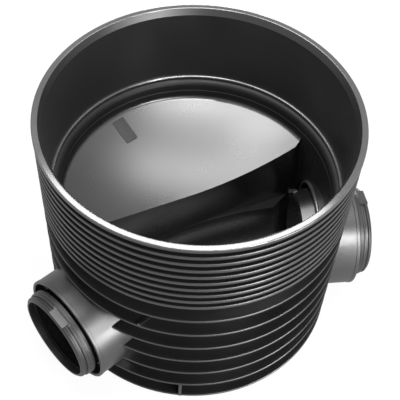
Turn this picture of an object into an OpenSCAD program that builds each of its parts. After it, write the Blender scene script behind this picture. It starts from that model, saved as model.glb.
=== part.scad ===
// Drain inspection chamber base: ribbed shell with a riser socket, dished benching,
// a curved flow channel and two swivelling pipe sockets.
// Millimetres, +Z up, origin on the shell axis at the bottom face, outlet along +X.

/* [Shell] */
// Overall height
body_h = 622; // [610:1:640]
// Outer radius over the ribs and flanges
body_r = 359; // [356:0.5:362]
// Bore radius of the riser socket
riser_r = 339; // [336:0.5:340]
// Height of the ledge that the riser stands on
ledge_z = 411; // [409:0.5:412]
// Thickness of the fine ribs round the riser socket
rib_t = 9; // [7:0.5:11]
// Thickness of the wide flanges below
flange_t = 6; // [5:0.5:8]
// Wall thickness of the benching and the channel
floor_t = 7; // [6:0.5:8]

/* [Benching and channel] */
// Height of the dished bench at the shell axis
bench_z = 280; // [276:1:284]
// Spherical radius of the dished bench
bench_sr = 740; // [720:5:780]
// Radius of the half-round channel
channel_r = 94; // [91:0.5:94.5]
// Direction of the inlet, counted from the outlet
inlet_az = 216; // [210:1:220]

/* [Pipe sockets] */
// Height of both pipe axes above the bottom face
axis_z = 154; // [152:1:158]
// Bore radius that takes the pipe
pipe_r = 100.6; // [100.3:0.1:100.8]
// Radius of the ball on the swivel socket
ball_r = 124.5; // [124:0.1:124.8]
// Distance of the ball's centre from the shell axis
pivot_l = 341; // [340:0.5:342]
// Distance of the socket's mouth from the shell axis
mouth_l = 438; // [436:0.5:442]
// Outer radius of the fixed bell
bell_r = 133.5; // [133:0.1:134.5]

/* [Hidden] */
$fn = 96;

chf = 1.4;
rim_r = body_r + 1;
rim_t = 11;
edge_r = 2.5;
nose_r = 4.5;
bead_t = 14;
lead_r = riser_r + 7;
floor_r = riser_r + 7;
wall_r = 331;
inner_r = 320;
hollow_r = 322;
rib_n = 9;
rib_pitch = 22.7;
rib_top = body_h - 25.6;
flange_n = 6;
flange_pitch = 59;
flange_top = 62.5;
foot_t = 6;

// bend of the channel: the arc is tangent to both pipe axes at this distance
tan_l = 312;
half_bend = (inlet_az - 180) / 2;
arc_r = tan_l / tan(half_bend);
arc_c = tan_l / sin(half_bend);
bench_az = inlet_az / 2;
shelf = 0.2;

// connector lengths, counted along the pipe axis from the shell axis
inner_l = 264;
collar_l = 298;
collar_r = 137;
funnel_r = 140;
flare_l = 226;
bell_l = 401;
skin_l = 368;
stop_l = 335;
tube_r = pipe_r + 4.9;
groove_r = 129.5;
bead_r = ball_r - 1.3;
house_r = 111;
seat_l = mouth_l - 29;
house_l = mouth_l - 15.5;
gap = 0.3;

// ---- shell ----

// a rib or flange, walked upwards from its lower root
function ring_pts(top, t, root, outer) = [
  [root, top - t - 1], [outer - chf, top - t], [outer, top - t + chf],
  [outer, top - chf], [outer - chf, top], [root, top + 1]];

function shell_pts() = concat(
  [[inner_r, 0], [body_r - chf, 0], [body_r, chf], [body_r, foot_t - chf],
   [body_r - chf, foot_t], [wall_r, foot_t + 1]],
  [for (i = [0:flange_n - 1])
     each ring_pts(flange_top + i * flange_pitch, flange_t, wall_r, body_r)],
  [[wall_r, ledge_z - 38], [floor_r, ledge_z - 7]],
  [for (i = [rib_n - 1:-1:0]) each ring_pts(rib_top - i * rib_pitch, rib_t, floor_r, body_r)],
  [[floor_r, body_h - rim_t - 1], [rim_r - chf, body_h - rim_t], [rim_r, body_h - rim_t + chf],
   [rim_r, body_h - edge_r], [rim_r - edge_r, body_h], [lead_r + edge_r, body_h],
   [lead_r, body_h - edge_r], [riser_r, body_h - 16], [riser_r, ledge_z],
   [riser_r - nose_r + 3, ledge_z], [riser_r - nose_r + 3, ledge_z - 2 * nose_r],
   [inner_r + 1 + bead_t, ledge_z - 9], [inner_r + 1, ledge_z - 9 - bead_t],
   [inner_r + 1, ledge_z - 36], [inner_r, ledge_z - 37]]);

// the profile with its round rim edges, ledge nose and shoulder bead
module shell() rotate_extrude() {
  polygon(shell_pts());
  translate([rim_r - edge_r, body_h - edge_r]) circle(r = edge_r);
  translate([lead_r + edge_r, body_h - edge_r]) circle(r = edge_r);
  translate([riser_r - nose_r + 3, ledge_z - nose_r]) circle(r = nose_r);
  translate([inner_r + 1 + bead_t, ledge_z - 9 - bead_t]) intersection() {
    circle(r = bead_t);
    translate([-bead_t, 0]) square(bead_t);
  }
}

// ---- benching ----

cove = 14;
cove_x = inner_r - cove;
slope = asin((cove_x + 5.7) / bench_sr);
touch_x = cove_x + cove * sin(slope);
touch_z = bench_z + bench_sr - sqrt(bench_sr * bench_sr - touch_x * touch_x);
cove_z = touch_z + cove * cos(slope);

module bench_block() rotate_extrude() difference() {
  square([inner_r + 4, cove_z]);
  intersection() {
    translate([0, bench_z + bench_sr]) circle(r = bench_sr);
    square([touch_x, body_h]);
  }
  intersection() {
    translate([cove_x, cove_z]) circle(r = cove);
    translate([touch_x - 0.01, 0]) square([cove, body_h]);
  }
}

// frame with X square to the bench edge and Y along it, on the shell axis
module bench_frame() rotate([0, 0, bench_az]) children();

module to_pipe(az) rotate([0, 0, az]) translate([0, 0, axis_z]) rotate([0, 90, 0]) children();

// plan of the well between the two benches, grown by t; it flares at both pipe ends
// from 12 mm inside the channel's edge, at 45 degrees
module well_plan(t) intersection() {
  circle(r = inner_r + (t > 0 ? 2 : 0));
  union() {
    bench_frame() difference() {
      union() {
        intersection() {
          translate([-arc_c, 0]) circle(r = arc_r + channel_r + shelf + t);
          translate([-arc_c, -1]) square([arc_c + 200, 500]);
        }
        translate([-arc_c, -500]) square([arc_r + channel_r + shelf + t, 500]);
      }
      translate([-arc_c, 0]) circle(r = arc_r - channel_r - shelf - t);
    }
    for (az = [0, inlet_az], m = [0, 1]) rotate([0, 0, az]) mirror([0, m]) polygon([
      [flare_l - 12 - t, 0], [flare_l - 12 - t, channel_r - 12 + 0.414 * t],
      [flare_l + 64 - t, channel_r + 64 + 0.414 * t], [340, channel_r + 64 + 0.414 * t], [340, 0]]);
  }
}

// half-round channel with its open side up, as a bent bar of radius r
module channel_bar(r) bench_frame() translate([-arc_c, 0, axis_z])
  rotate([0, 0, -half_bend]) rotate_extrude(angle = 2 * half_bend)
    translate([arc_r, 0]) {
      difference() {
        circle(r = r);
        translate([-2 * r, 0]) square([4 * r, 2 * r]);
      }
      translate([-r, -0.5]) square([2 * r, 1.5]);
    }

// lower half of the flare, a funnel on the pipe axis that opens from the channel
function funnel_pts(t) = [
  [0, flare_l - 12 - t], [channel_r - 12 + 0.414 * t, flare_l - 12 - t],
  [funnel_r + t, flare_l + funnel_r - channel_r - 0.414 * t],
  [funnel_r + t, collar_l + 0.01 + 10 * t], [0, collar_l + 0.01 + 10 * t]];

module under_hollow() difference() {
  rotate_extrude() difference() {
    translate([0, -1]) square([hollow_r, cove_z]);
    translate([0, bench_z + bench_sr]) circle(r = bench_sr + floor_t);
  }
  translate([0, 0, axis_z - floor_t]) linear_extrude(height = 300) well_plan(floor_t);
  channel_bar(channel_r + floor_t);
  for (az = [0, inlet_az]) to_pipe(az) rotate_extrude() polygon(funnel_pts(floor_t - 0.2));
  for (i = [0:7]) rotate([0, 0, bench_az + 22.5 + 45 * i])
    translate([-1, -2.5, 3]) cube([inner_r + 4, 5, 400]);
  translate([0, 0, 3]) difference() {
    cylinder(r = 200, h = 400);
    translate([0, 0, -1]) cylinder(r = 195, h = 402);
  }
}

// ---- bells ----

module bell_solid() rotate_extrude() {
  polygon([
    [0, collar_l], [bell_r, collar_l], [bell_r, bell_l - 9], [bell_r + 1, bell_l - 8],
    [bell_r + 1, bell_l - 2], [bell_r - 1, bell_l], [0, bell_l]]);
  translate([bell_r - 1, bell_l - 2]) circle(r = 2);
}

module bell_void() rotate_extrude() polygon([
  [0, collar_l - 1], [ball_r + 6.5, collar_l - 1], [ball_r + 3.5, collar_l + 2],
  [ball_r + 3.5, collar_l + 18], [bead_r, collar_l + 21], [bead_r, collar_l + 23],
  [ball_r + 2, collar_l + 26],
  [ball_r + 2, pivot_l - 7], [groove_r, pivot_l - 7], [groove_r, pivot_l + 7],
  [ball_r + 2, pivot_l + 7], [ball_r + 2, pivot_l + 18], [bead_r, pivot_l + 21],
  [bead_r, pivot_l + 25], [ball_r + 2.5, pivot_l + 29], [ball_r + 2.5, bell_l - 2],
  [ball_r + 4.5, bell_l + 1], [0, bell_l + 1]]);

// low web standing on a flange, beside and parallel to a pipe axis
module low_web(az, side) rotate([0, 0, az]) translate([260, side * 168 - 3, 296])
  intersection() {
    cube([80, 6, 10]);
    translate([-260, 3 - side * 168, 0]) cylinder(r = body_r - 0.5, h = 20);
  }

// inner end of the bell, standing out of the shell wall into the flare
module collar(az) intersection() {
  to_pipe(az) translate([0, 0, collar_l]) cylinder(r = collar_r, h = 60);
  cylinder(r = inner_r + 5, h = body_h);
}

module chamber_base() color([0.08, 0.08, 0.09]) difference() {
  union() {
    difference() {
      union() {
        shell();
        bench_block();
        low_web(inlet_az, 1);
        low_web(inlet_az, -1);
        low_web(0, 1);
        rotate([0, 0, 259.8]) translate([329, -3.5, 0.5]) cube([body_r - 328.5, 7, 60]);
      }
      under_hollow();
      translate([0, 0, axis_z]) linear_extrude(height = cove_z + 1 - axis_z) well_plan(0);
      channel_bar(channel_r);
      for (az = [0, inlet_az]) to_pipe(az) rotate_extrude() polygon(funnel_pts(0));
    }
    for (az = [0, inlet_az]) {
      collar(az);
      to_pipe(az) bell_solid();
    }
  }
  for (az = [0, inlet_az]) to_pipe(az) bell_void();
}

// ---- swivel socket and its rings ----

// the tube inside the ball skin, narrower where the pipe does not reach
function tube_pts(a, b) = [
  [0, a], [channel_r + 5, a], [channel_r + 5, stop_l - 13], [tube_r, stop_l - 5], [tube_r, b], [0, b]];

module socket_shape() difference() {
  union() {
    intersection() {
      translate([0, pivot_l]) circle(r = ball_r);
      translate([0, inner_l + 34]) square([200, skin_l - inner_l - 34]);
    }
    polygon([[0, inner_l], [109.5 - chf, inner_l], [109.5, inner_l + chf], [118, inner_l + 34],
             [118, inner_l + 38], [0, inner_l + 38]]);
    polygon(tube_pts(inner_l, seat_l - 5));
    polygon([[0, seat_l - 12], [tube_r, seat_l - 12], [house_r, seat_l - 5],
             [house_r, house_l], [0, house_l]]);
  }
  translate([-1, inner_l - 1]) square([channel_r + 1, 100]);
  translate([-1, stop_l]) square([pipe_r + 1, 200]);
  translate([0, seat_l]) square([108, 60]);
  // hollow between the tube and the ball skin, open towards the mouth
  difference() {
    union() {
      intersection() {
        translate([0, pivot_l]) circle(r = ball_r - 5);
        translate([90, inner_l + 34]) square([60, 100]);
      }
      polygon([[90, inner_l + 6], [105.4, inner_l + 6], [112.6, inner_l + 35], [90, inner_l + 35]]);
    }
    polygon(tube_pts(inner_l - 5, mouth_l));
  }
}

module swivel_socket() {
  rotate_extrude() socket_shape();
  // stiffening webs between the tube and the ball skin
  for (i = [0:11]) rotate([0, 0, 15 + 30 * i]) rotate([90, 0, 0])
    translate([0, 0, -1.5]) linear_extrude(height = 3) difference() {
      intersection() {
        translate([0, pivot_l]) circle(r = ball_r - 3);
        translate([channel_r + 3, inner_l + 36]) square([60, skin_l - inner_l - 42]);
      }
      translate([0, stop_l - 2]) square([pipe_r + 3, 100]);
    }
  // stop tab beside the top of the inner end
  rotate([0, 0, 130]) translate([107, -9, inner_l - 11]) cube([9, 18, 22]);
}

module joint_seal() rotate_extrude() difference() {
  translate([118, pivot_l - 7 + gap]) square([groove_r - gap - 118, 14 - 2 * gap]);
  translate([0, pivot_l]) circle(r = ball_r + gap, $fn = 256);
}

module lip_seal() rotate_extrude() polygon([
  [107.7, seat_l + gap], [107.7, house_l - gap], [103.4, house_l - gap],
  [pipe_r + 0.1, mouth_l - 19], [pipe_r + 0.1, mouth_l - 22], [103.8, mouth_l - 26],
  [103.8, seat_l + gap]]);

module cap_ring(lug_az) difference() {
  union() {
    rotate_extrude() {
      polygon([
        [pipe_r + 0.1, house_l + gap], [house_r + gap, house_l + gap], [house_r + gap, mouth_l - 35],
        [house_r + 2, mouth_l - 35], [house_r + 3, mouth_l - 34], [house_r + 3, mouth_l - 31],
        [house_r + 2.2, mouth_l - 30.4], [house_r + 2.2, mouth_l - 29.6], [house_r + 3, mouth_l - 29],
        [house_r + 3, mouth_l - 25.5], [house_r + 2, mouth_l - 24.5], [house_r + 2, mouth_l - 15.4],
        [108, mouth_l - 14.6], [108, mouth_l - 10.2], [109.4, mouth_l - 9], [106.2, mouth_l - 2],
        [104.8, mouth_l], [pipe_r + 1, mouth_l], [pipe_r + 0.1, mouth_l - 1]]);
      translate([109, mouth_l - 19.4]) circle(r = 5);
      translate([106.4, mouth_l - 6.6]) circle(r = 4);
    }
    rotate([0, 0, lug_az]) translate([106, -24, mouth_l - 20]) cube([7.4, 48, 18.5]);
  }
  rotate([0, 0, lug_az]) for (s = [-1, 1]) translate([house_r - 1, s * 31 - 6, mouth_l - 24])
    cube([12, 12, 8.4]);
  translate([0, 0, mouth_l - 40]) cylinder(r = pipe_r + 0.1, h = 60);
  translate([0, 0, mouth_l - 36]) cylinder(r = house_r + gap, h = 20.5 + gap);
}

module outlet_socket() color([0.1, 0.1, 0.11]) to_pipe(0) swivel_socket();
module outlet_joint_seal() color([0.03, 0.03, 0.03]) to_pipe(0) joint_seal();
module outlet_lip_seal() color([0.03, 0.03, 0.03]) to_pipe(0) lip_seal();
module outlet_cap_ring() color([0.12, 0.12, 0.13]) to_pipe(0) cap_ring(169);
module inlet_socket() color([0.1, 0.1, 0.11]) to_pipe(inlet_az) swivel_socket();
module inlet_joint_seal() color([0.03, 0.03, 0.03]) to_pipe(inlet_az) joint_seal();
module inlet_lip_seal() color([0.03, 0.03, 0.03]) to_pipe(inlet_az) lip_seal();
module inlet_cap_ring() color([0.12, 0.12, 0.13]) to_pipe(inlet_az) cap_ring(169);

chamber_base();
outlet_socket();
outlet_joint_seal();
outlet_lip_seal();
outlet_cap_ring();
inlet_socket();
inlet_joint_seal();
inlet_lip_seal();
inlet_cap_ring();
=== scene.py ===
import math

import bmesh
import bpy
from mathutils import Matrix, Vector


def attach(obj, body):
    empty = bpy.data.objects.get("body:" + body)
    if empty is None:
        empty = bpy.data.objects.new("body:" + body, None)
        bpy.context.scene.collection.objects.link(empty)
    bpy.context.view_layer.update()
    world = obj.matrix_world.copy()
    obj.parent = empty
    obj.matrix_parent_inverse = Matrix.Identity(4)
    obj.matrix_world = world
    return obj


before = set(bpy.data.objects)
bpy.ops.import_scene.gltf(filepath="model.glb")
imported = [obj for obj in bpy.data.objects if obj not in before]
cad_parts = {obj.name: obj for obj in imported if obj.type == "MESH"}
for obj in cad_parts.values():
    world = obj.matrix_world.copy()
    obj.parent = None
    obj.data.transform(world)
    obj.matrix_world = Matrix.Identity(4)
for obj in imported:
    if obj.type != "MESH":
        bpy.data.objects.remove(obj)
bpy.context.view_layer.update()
print("frame loaded")

axisZ = 0.154  # height of both pipes' centre line
pipeAz = {"outlet": 0.0, "inlet": 216.0}  # degrees round from the outlet
near = 1e-4


def newMaterial(name):
    mat = bpy.data.materials.new(name)
    mat.use_nodes = True
    nodes, links = mat.node_tree.nodes, mat.node_tree.links
    nodes.clear()
    out = nodes.new("ShaderNodeOutputMaterial")
    shader = nodes.new("ShaderNodeBsdfPrincipled")
    links.new(shader.outputs["BSDF"], out.inputs["Surface"])
    return mat, nodes, links, shader


def noiseNode(nodes, links, scale, detail, rough, stretch=(1, 1, 1)):
    coord = nodes.new("ShaderNodeTexCoord")
    mapping = nodes.new("ShaderNodeMapping")
    mapping.inputs["Scale"].default_value = stretch
    noise = nodes.new("ShaderNodeTexNoise")
    noise.inputs["Scale"].default_value = scale
    noise.inputs["Detail"].default_value = detail
    noise.inputs["Roughness"].default_value = rough
    links.new(coord.outputs["Object"], mapping.inputs["Vector"])
    links.new(mapping.outputs["Vector"], noise.inputs["Vector"])
    return noise.outputs["Fac"]


def rampNode(nodes, links, source, span, low, high):
    ramp = nodes.new("ShaderNodeValToRGB")
    for stop, pos, colour in zip(ramp.color_ramp.elements, span, (low, high)):
        stop.position = pos
        stop.color = colour
    links.new(source, ramp.inputs["Fac"])
    return ramp.outputs["Color"]


def grey(v):
    return (v, v, v * 1.04, 1.0)  # black plastic has a trace of blue


def plasticMaterial(name, p):
    mat, nodes, links, shader = newMaterial(name)
    cloud = noiseNode(nodes, links, p["cloudScale"], detail=3.0, rough=0.55)
    tone = rampNode(nodes, links, cloud, p["noiseSpan"], grey(p["dark"]), grey(p["pale"]))

    wear = noiseNode(nodes, links, p["scuffScale"], detail=6.0, rough=0.65, stretch=p["scuffStretch"])
    worn = rampNode(nodes, links, wear, p["scuffSpan"], (0, 0, 0, 1), (p["scuff"],) * 3 + (1,))
    blend = nodes.new("ShaderNodeMix")
    blend.data_type = "RGBA"
    links.new(worn, blend.inputs["Factor"])
    links.new(tone, blend.inputs["A"])
    blend.inputs["B"].default_value = grey(p["worn"])
    links.new(blend.outputs["Result"], shader.inputs["Base Color"])

    gloss = nodes.new("ShaderNodeMapRange")
    gloss.inputs["From Min"].default_value, gloss.inputs["From Max"].default_value = p["noiseSpan"]
    gloss.inputs["To Min"].default_value = p["roughLow"]
    gloss.inputs["To Max"].default_value = p["roughHigh"]
    smear = noiseNode(nodes, links, p["smearScale"], detail=4.0, rough=0.6)
    links.new(smear, gloss.inputs["Value"])
    links.new(gloss.outputs["Result"], shader.inputs["Roughness"])

    bump = nodes.new("ShaderNodeBump")
    bump.inputs["Strength"].default_value = p["grain"]
    bump.inputs["Distance"].default_value = p["grainDepth"]
    grain = noiseNode(nodes, links, p["grainScale"], detail=2.0, rough=0.5)
    links.new(grain, bump.inputs["Height"])
    links.new(bump.outputs["Normal"], shader.inputs["Normal"])
    shader.inputs["IOR"].default_value = p["ior"]
    shader.inputs["Specular IOR Level"].default_value = p["specular"]
    return mat


shellPlastic = {
    "dark": 0.014, "pale": 0.021, "cloudScale": 5.0, "noiseSpan": (0.3, 0.7),
    "roughLow": 0.26, "roughHigh": 0.36, "smearScale": 9.0, "ior": 1.5, "specular": 1.0,
    "grain": 0.10, "grainScale": 420.0, "grainDepth": 0.0004,
    "scuff": 0.10, "scuffScale": 26.0, "scuffSpan": (0.60, 0.72), "scuffStretch": (1, 1, 5), "worn": 0.09,
}


def finish(base=shellPlastic, **changes):
    return dict(base, **changes)


# the rim's tone is about five times paler than the shell's: a painted highlight on the same black moulding
rimPaintedHighlight = finish(roughLow=0.08, roughHigh=0.14, ior=1.95, dark=0.070, pale=0.11, grain=0.04, scuff=0.5)
# finishes of the one black moulding; several carry painted highlight, light or shade in their tone
chamberFinishes = {
    "shellPlastic": shellPlastic,
    "rimPaintedHighlight": rimPaintedHighlight,  # the rim, the ledge's nose and the collars; their paler tone is a painted highlight
    "benchPlastic": finish(roughLow=0.27, roughHigh=0.29, ior=1.8, grain=0.0, scuff=0.0),
    # the inner walls' paler tone is painted light on the same black moulding
    "wallPaintedLight": finish(roughLow=0.28, roughHigh=0.36, ior=1.6, dark=0.019, pale=0.027),
    "bellPlastic": finish(roughLow=0.30, roughHigh=0.42, ior=1.8),
    # the well's paler tone is painted light on the same black moulding
    "wellPaintedLight": finish(roughLow=0.20, roughHigh=0.30, ior=1.65, dark=0.019, pale=0.028),
    "shoulderPlastic": finish(roughLow=0.42, roughHigh=0.52, specular=0.5),
    # the rib crests' paler tone is a painted highlight along the crests; their heavier scuffs are wear
    "crestPaintedHighlight": finish(roughLow=0.28, roughHigh=0.38, ior=1.58, dark=0.020, pale=0.030, scuff=0.35),
    # the ledge groove's darker tone is painted shade in the recess
    "groovePaintedShade": finish(roughLow=0.50, roughHigh=0.60, specular=0.2, dark=0.006, pale=0.010),
}
socketPlastic = finish(roughLow=0.22, roughHigh=0.32, ior=1.6, grain=0.06)
capPlastic = finish(roughLow=0.34, roughHigh=0.46, ior=1.6, dark=0.015, pale=0.023, grain=0.06)
sealRubber = finish(roughLow=0.5, roughHigh=0.65, specular=0.4, dark=0.008, pale=0.012)


def paint(nodeName, *mats):
    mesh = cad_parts[nodeName].data
    mesh.materials.clear()
    for mat in mats:
        mesh.materials.append(mat)
    return mesh


def between(value, limits):
    return limits[0] < value < limits[1]


def pipePlaces(p):
    for az in pipeAz.values():  # distance along each pipe, and out from its axis
        a = math.radians(az)
        side = -p.x * math.sin(a) + p.y * math.cos(a)
        yield p.x * math.cos(a) + p.y * math.sin(a), math.hypot(side, p.z - axisZ)


# where one finish of the moulding ends and the next begins, and with it the painted highlight, light and
# shade that some finishes carry: radii, heights and upward tilts
zones = {
    "rimTop": 0.6192, "noseR": (0.333, 0.345), "noseZ": (0.4035, 0.412),
    "basinR": 0.3195, "benchZ": (0.05, 0.365), "benchTilt": 0.3,
    "wallR": 0.345, "wallFoot": 0.30, "ledgeZ": 0.395, "shoulderR": 0.326, "shoulderTop": 0.4035,
    "inward": 0.2, "grooveR": 0.322, "grooveTilt": 0.9,
    "collarFar": (0.29, 0.3135), "collarFoot": 0.24, "collarR": (0.126, 0.142),
    "bellFar": 0.28, "bellR": 0.131, "bellSlack": 0.006,
    "wellZ": (0.03, 0.38), "wellTilt": 0.995, "wellFar": -0.33, "wellFoot": 0.052,
    "crestR": 0.3555,
}


def onCollar(p, z):
    return p.z > z["collarFoot"] and any(
        between(far, z["collarFar"]) and between(out, z["collarR"]) for far, out in pipePlaces(p))


def onBell(p, z):
    return any(far > z["bellFar"] and abs(out - z["bellR"]) < z["bellSlack"] for far, out in pipePlaces(p))


def inWell(p, n, z):
    if not (between(p.z, z["wellZ"]) and p.z > z["wellFoot"] and abs(n.z) < z["wellTilt"]):
        return False
    return min(far for far, out in pipePlaces(p)) > z["wellFar"]


def onWall(p, n, r, z):
    if not (r < z["wallR"] and p.z > z["wallFoot"]):
        return False
    facesIn = (n.x * p.x + n.y * p.y) / r < z["inward"]
    return facesIn and (p.z > z["ledgeZ"] or r < z["shoulderR"])


def finishAt(p, n, z):
    r = math.hypot(p.x, p.y)
    if p.z > z["rimTop"] or (between(r, z["noseR"]) and between(p.z, z["noseZ"])):
        return "rimPaintedHighlight"
    if r < z["basinR"] and between(p.z, z["benchZ"]) and n.z > z["benchTilt"]:
        return "benchPlastic"
    if onWall(p, n, r, z):
        if n.z > z["grooveTilt"] and r < z["grooveR"]:
            return "groovePaintedShade"
        return "shoulderPlastic" if p.z < z["shoulderTop"] else "wallPaintedLight"
    if onCollar(p, z):
        return "rimPaintedHighlight"
    if onBell(p, z):
        return "bellPlastic"
    if r < z["basinR"] and inWell(p, n, z):
        return "wellPaintedLight"
    return "crestPaintedHighlight" if r > z["crestR"] else "shellPlastic"


baseMesh = paint("chamber_base", *[plasticMaterial(n, p) for n, p in chamberFinishes.items()])
finishOrder = list(chamberFinishes)
for poly in baseMesh.polygons:
    poly.material_index = finishOrder.index(finishAt(poly.center, poly.normal, zones))

for end in pipeAz:
    paint(end + "_socket", plasticMaterial(end + "SocketPlastic", socketPlastic))
    paint(end + "_cap_ring", plasticMaterial(end + "CapPlastic", capPlastic))
    paint(end + "_joint_seal", plasticMaterial(end + "JointRubber", sealRubber))
    paint(end + "_lip_seal", plasticMaterial(end + "LipRubber", sealRubber))
print("materials on")


def freshObject(name):
    obj = bpy.context.object
    obj.name = name
    obj.data.name = name
    bpy.ops.object.mode_set(mode="EDIT")
    return obj


def pick(obj, kind, test):
    bpy.ops.mesh.select_all(action="DESELECT")
    bpy.ops.mesh.select_mode(type=kind)
    mesh = bmesh.from_edit_mesh(obj.data)
    for part in mesh.faces if kind == "FACE" else mesh.edges:
        part.select_set(test(part))
    mesh.select_flush_mode()
    bmesh.update_edit_mesh(obj.data)


def selectAll():
    bpy.ops.mesh.select_all(action="SELECT")


def settle(obj, mat):
    bpy.ops.object.mode_set(mode="OBJECT")
    bpy.ops.object.transform_apply(location=True, rotation=True, scale=True)
    bpy.ops.object.shade_smooth_by_angle(angle=math.radians(32))
    obj.data.materials.append(mat)
    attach(obj, "chamber")


# a bare plate on the bench: r and az place it, proud is its height above the bench
plate = {
    "r": 0.277, "az": 124.8, "long": 0.066, "wide": 0.034, "thick": 0.0060, "proud": 0.0026,
    "corner": 0.003, "frame": 0.0014, "sink": 0.0005, "edge": 0.0003, "sharp": 0.5, "dropFrom": 0.38,
}
platePlastic = finish(roughLow=0.34, roughHigh=0.46, grainScale=700.0, grain=0.2, ior=1.45)


def benchUnder(x, y, dropFrom):
    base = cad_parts["chamber_base"]
    return base.ray_cast(Vector((x, y, dropFrom)), Vector((0, 0, -1)))[1:3]  # place and normal


def makeBenchPlate(p):
    a = math.radians(p["az"])
    outward = Vector((math.cos(a), math.sin(a), 0))
    place, normal = benchUnder(p["r"] * outward.x, p["r"] * outward.y, p["dropFrom"])
    bpy.ops.object.select_all(action="DESELECT")
    bpy.ops.mesh.primitive_cube_add(size=1, location=(0, 0, 0))
    bpy.ops.transform.resize(value=(p["long"], p["wide"], p["thick"]))
    bpy.ops.object.transform_apply(scale=True)
    obj = freshObject("benchPlate")
    pick(obj, "EDGE", lambda e: abs(e.verts[0].co.z - e.verts[1].co.z) > near)  # the four corners
    bpy.ops.mesh.bevel(offset=p["corner"], segments=5, affect="EDGES")
    pick(obj, "FACE", lambda f: f.normal.z > 0.9)
    bpy.ops.mesh.inset(thickness=p["frame"])
    bpy.ops.mesh.extrude_region_move(TRANSFORM_OT_translate={"value": (0, 0, -p["sink"])})
    top = p["thick"] / 2
    pick(obj, "EDGE", lambda e: all(abs(v.co.z - top) < near for v in e.verts)
         and len(e.link_faces) == 2 and abs(e.calc_face_angle(0)) > p["sharp"])
    bpy.ops.mesh.bevel(offset=p["edge"], segments=2, affect="EDGES")
    bpy.ops.object.mode_set(mode="OBJECT")
    along = (outward - normal * outward.dot(normal)).normalized()
    turn = Matrix((along, normal.cross(along), normal)).transposed().to_4x4()
    obj.matrix_world = Matrix.Translation(place + normal * (p["proud"] - top)) @ turn
    settle(obj, plasticMaterial("platePlastic", platePlastic))


# the rounded bead round each collar: far is its distance along the pipe
bead = {"far": 0.3010, "ringR": 0.1332, "tubeR": 0.0049, "backCut": 0.0035,
        "steps": 96, "facets": 24, "weld": 1e-5}
# the beads take the rim's paler tone: a painted highlight on the collar beads
beadPaintedHighlight = finish(rimPaintedHighlight, roughLow=0.20, roughHigh=0.28)


def makeCollarBead(p, end):
    bpy.ops.object.select_all(action="DESELECT")
    bpy.ops.mesh.primitive_circle_add(vertices=p["facets"], radius=p["tubeR"],
                                      location=(p["far"], p["ringR"], 0))
    bpy.ops.object.transform_apply(location=True)
    obj = freshObject(end + "CollarBead")
    selectAll()
    bpy.ops.mesh.spin(steps=p["steps"], angle=2 * math.pi, center=(0, 0, 0), axis=(1, 0, 0))
    selectAll()
    bpy.ops.mesh.remove_doubles(threshold=p["weld"])
    selectAll()
    bpy.ops.mesh.normals_make_consistent(inside=False)
    back = (p["far"] + p["backCut"], 0, 0)
    bpy.ops.mesh.bisect(plane_co=back, plane_no=(1, 0, 0), clear_outer=True)
    bpy.ops.mesh.select_all(action="DESELECT")
    bpy.ops.mesh.select_mode(type="EDGE")
    bpy.ops.mesh.select_non_manifold(extend=False)
    bpy.ops.mesh.bridge_edge_loops()
    selectAll()
    bpy.ops.mesh.normals_make_consistent(inside=False)
    bpy.ops.object.mode_set(mode="OBJECT")
    turn = Matrix.Rotation(math.radians(pipeAz[end]), 4, "Z")
    obj.matrix_world = Matrix.Translation((0, 0, axisZ)) @ turn
    settle(obj, plasticMaterial(end + "BeadPaintedHighlight", beadPaintedHighlight))


makeBenchPlate(plate)
for end in pipeAz:
    makeCollarBead(bead, end)
print("details on")

view = {
    "elev": math.radians(51.648), "azim": math.radians(-9.0), "roll": 0.06518587,
    "dist": 2.0711, "lens": 77.22, "target": Vector((0.0106, -0.00168, 0.3214)),
}

# light from the studio, what gloss mirrors, and what the camera sees behind the chamber
glow = {"world": 0.28, "worldMirrored": 0.44, "worldCamera": 1.0,
        "floorMirrored": (0.50, 0.8), "floorCamera": (1.06, 0.88)}  # floor: strength and share
floorLook = {"span": 14, "drop": 0.0005, "grey": 0.8, "rough": 0.9}


def floorMaterial(p):
    mat, nodes, links, shader = newMaterial("floorPale")
    shader.inputs["Base Color"].default_value = (p["grey"],) * 3 + (1,)
    shader.inputs["Roughness"].default_value = p["rough"]
    out = [n for n in nodes if n.type == "OUTPUT_MATERIAL"][0]
    path = nodes.new("ShaderNodeLightPath")
    below = shader.outputs["BSDF"]
    for ray, seen in (("Is Glossy Ray", "floorMirrored"), ("Is Camera Ray", "floorCamera")):
        strength, share = glow[seen]
        shine = nodes.new("ShaderNodeEmission")
        shine.inputs["Strength"].default_value = strength
        amount = nodes.new("ShaderNodeMath")
        amount.operation = "MULTIPLY"
        amount.inputs[1].default_value = share
        links.new(path.outputs[ray], amount.inputs[0])
        mix = nodes.new("ShaderNodeMixShader")
        links.new(amount.outputs["Value"], mix.inputs["Fac"])
        links.new(below, mix.inputs[1])
        links.new(shine.outputs["Emission"], mix.inputs[2])
        below = mix.outputs["Shader"]
    links.new(below, out.inputs["Surface"])
    return mat


bpy.ops.mesh.primitive_plane_add(size=floorLook["span"], location=(0, 0, -floorLook["drop"]))
floor = bpy.context.object
floor.name = "paleFloor"
floor.data.materials.append(floorMaterial(floorLook))


def worldLight():
    world = bpy.data.worlds.new("studioWorld")
    bpy.context.scene.world = world
    world.use_nodes = True
    nodes, links = world.node_tree.nodes, world.node_tree.links
    back = nodes["Background"]
    back.inputs["Color"].default_value = (1, 1, 1, 1)
    path = nodes.new("ShaderNodeLightPath")
    below = None
    for ray, seen in (("Is Glossy Ray", "worldMirrored"), ("Is Camera Ray", "worldCamera")):
        level = nodes.new("ShaderNodeMapRange")
        level.inputs["To Min"].default_value = glow["world"]
        level.inputs["To Max"].default_value = glow[seen]
        links.new(path.outputs[ray], level.inputs["Value"])
        if below:
            links.new(below, level.inputs["To Min"])
        below = level.outputs["Result"]
    links.new(below, back.inputs["Strength"])


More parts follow.
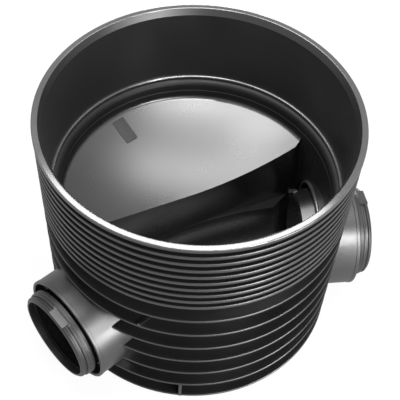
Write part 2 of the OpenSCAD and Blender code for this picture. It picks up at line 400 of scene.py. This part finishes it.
# each box: brightness, size, place and the point it faces, before the turn to the view's side
lamps = {
    "benchMain": (8.5, (1.00, 0.85), (0.15, -0.24, 2.6), (0.15, -0.24, 0.0)),
    "benchLeft": (4.0, (0.50, 0.50), (-0.60, -0.02, 2.6), (-0.60, -0.02, 0.0)),
    "backLeft": (6.0, (0.95, 0.55), (-0.80, 0.42, 2.6), (-0.80, 0.42, 0.0)),
    "backRight": (1.6, (0.80, 0.40), (0.16, 0.44, 2.6), (0.16, 0.44, 0.0)),
    "rimBack": (4.0, (1.56, 0.60), (-0.14, 1.12, 2.6), (-0.14, 1.12, 0.0)),
    "frontSide": (2.6, (0.75, 0.95), (0.93, -1.99, 1.35), (0, 0, 0.35)),
    "bellFront": (12.0, (0.40, 0.90), (1.30, -1.76, 1.65), (0, 0, 0.35)),
    "lowRight": (7.5, (0.90, 0.85), (1.80, -1.27, 0.45), (0, 0, 0.35)),
    "highRight": (6.0, (0.70, 0.60), (1.56, -1.56, 1.6), (0, 0, 0.35)),
    "lowBack": (14.0, (1.00, 0.60), (0.0, 2.20, 0.45), (0, 0, 0.35)),
}


def softbox(name, brightness, dims, pos, aim):
    data = bpy.data.lights.new(name, "AREA")
    data.shape = "RECTANGLE"
    data.size, data.size_y = dims
    data.energy = brightness * math.pi * dims[0] * dims[1]
    lamp = bpy.data.objects.new(name, data)
    bpy.context.scene.collection.objects.link(lamp)
    toView = Matrix.Rotation(view["azim"], 3, "Z")
    pos, aim = toView @ Vector(pos), toView @ Vector(aim)
    lamp.location = pos
    lamp.rotation_euler = (aim - pos).to_track_quat("-Z", "Y").to_euler()
    if (aim - pos).xy.length < 1e-6:
        lamp.rotation_euler = (0, 0, view["azim"])  # faces straight down, square to the view


worldLight()
for name, box in lamps.items():
    softbox(name + "Box", *box)


def viewCamera(v):
    cosE, sinE = math.cos(v["elev"]), math.sin(v["elev"])
    cosA, sinA = math.cos(v["azim"]), math.sin(v["azim"])
    back = Vector((sinA * cosE, -cosA * cosE, sinE))
    side = Vector((cosA, sinA, 0))
    up = back.cross(side)
    right = side * math.cos(v["roll"]) + up * math.sin(v["roll"])
    top = up * math.cos(v["roll"]) - side * math.sin(v["roll"])
    data = bpy.data.cameras.new("viewCamera")
    data.sensor_width = 36.0
    data.lens = v["lens"]
    cam = bpy.data.objects.new("viewCamera", data)
    bpy.context.scene.collection.objects.link(cam)
    turn = Matrix((right, top, back)).transposed().to_4x4()
    cam.matrix_world = Matrix.Translation(v["target"] + back * v["dist"]) @ turn
    bpy.context.scene.camera = cam


viewCamera(view)
bpy.context.scene.view_settings.view_transform = "Standard"
print("floor, light and camera on")
